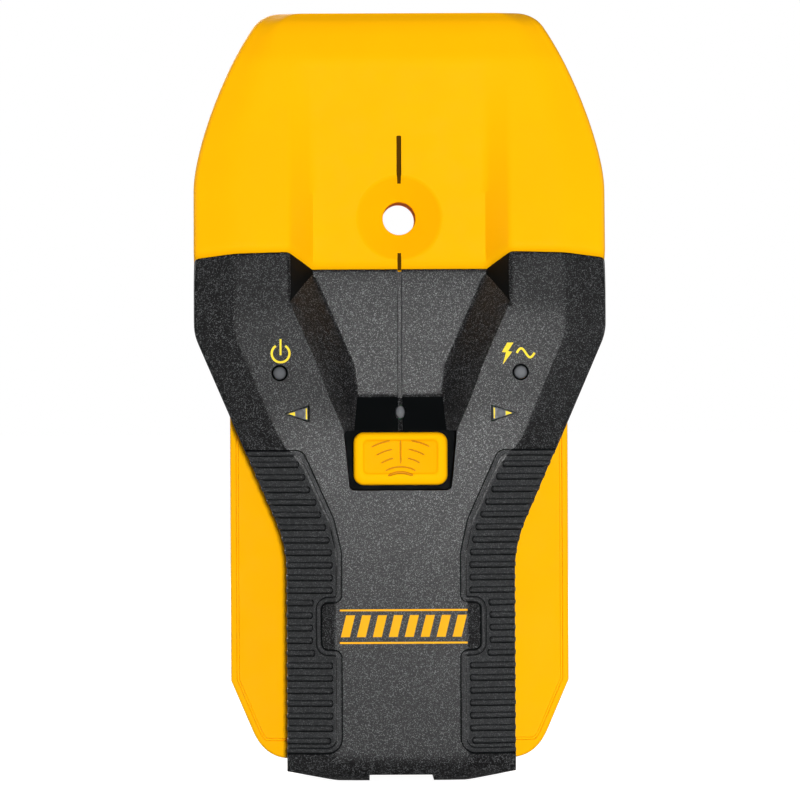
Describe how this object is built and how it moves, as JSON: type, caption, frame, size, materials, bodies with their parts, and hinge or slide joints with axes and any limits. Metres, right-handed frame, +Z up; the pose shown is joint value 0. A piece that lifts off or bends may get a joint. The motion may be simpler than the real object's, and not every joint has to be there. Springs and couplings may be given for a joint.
{
  "type": "stud finder",
  "caption": "Hand-held stud finder with a wide sensing head, marking hole, ribbed waisted handle, scan button and battery door.",
  "frame": {"origin": "middle of the footprint at the bottom end, with the tool stood on that end", "axes": "+Z runs up the tool to the sensing head, -Y out of the front with the button, +Y out of the flat rear face, +X to the right seen from the front"},
  "size_m": [0.092, 0.0346, 0.172],
  "materials": {
    "yellow_plastic": "fine satin moulded ABS",
    "black_plastic": "spark-eroded leather grain",
    "grip_rubber": "smooth soft elastomer with ribs",
    "smoked_lens": "smoked translucent, polished",
    "led_clear": "water-clear epoxy",
    "circuit_board": "green solder mask",
    "copper": "rolled copper foil",
    "steel": "zinc plated",
    "battery_case": "wrapped metal jacket",
    "red_wire": "soft vinyl insulation",
    "black_wire": "soft vinyl insulation",
    "foam": "open cell foam"
  },
  "bodies": {
    "housing": {"rear_cover": "yellow_plastic", "head_cover": "yellow_plastic", "front_cover": "black_plastic", "left_grip": "grip_rubber", "right_grip": "grip_rubber", "left_arrow_lens": "smoked_lens", "right_arrow_lens": "smoked_lens", "left_arrow_led": "led_clear", "right_arrow_led": "led_clear", "switch_body": "black_plastic", "power_lens": "smoked_lens", "live_wire_lens": "smoked_lens", "centre_lens": "smoked_lens", "power_led": "led_clear", "live_wire_led": "led_clear", "centre_led": "led_clear", "main_board": "circuit_board", "left_sensor_plate": "copper", "centre_sensor_plate": "copper", "right_sensor_plate": "copper", "processor_chip": "black_plastic", "buzzer": "black_plastic", "capacitor": "battery_case", "board_screw_1": "steel", "board_screw_2": "steel", "board_screw_3": "steel", "battery": "battery_case", "battery_plus_terminal": "steel", "battery_minus_terminal": "steel", "snap_connector": "black_plastic", "red_lead": "red_wire", "black_lead": "black_wire", "housing_screw_1": "steel", "housing_screw_2": "steel", "housing_screw_3": "steel", "housing_screw_4": "steel", "housing_screw_5": "steel", "housing_screw_6": "steel"},
    "button": {"scan_button": "yellow_plastic"},
    "plunger": {"switch_plunger": "steel"},
    "door": {"battery_door": "yellow_plastic", "door_pad": "foam"}
  },
  "joints": [
    {"name": "button_press", "type": "slide", "parent": "housing", "child": "button", "axis": [0, 1, 0], "range_m": [0, 0.0008], "stiffness_N_per_m": 500},
    {"name": "plunger_press", "type": "slide", "parent": "housing", "child": "plunger", "axis": [0, 1, 0], "range_m": [0, 0.0008]},
    {"name": "door_swing", "type": "hinge", "parent": "housing", "child": "door", "pos_m": [0, 0.0163, 0.059], "axis": [1, 0, 0], "range_deg": [0, 100]}
  ],
  "couplings": [
    {"joint": "plunger_press", "follows": "button_press", "ratio": 1}
  ]
}
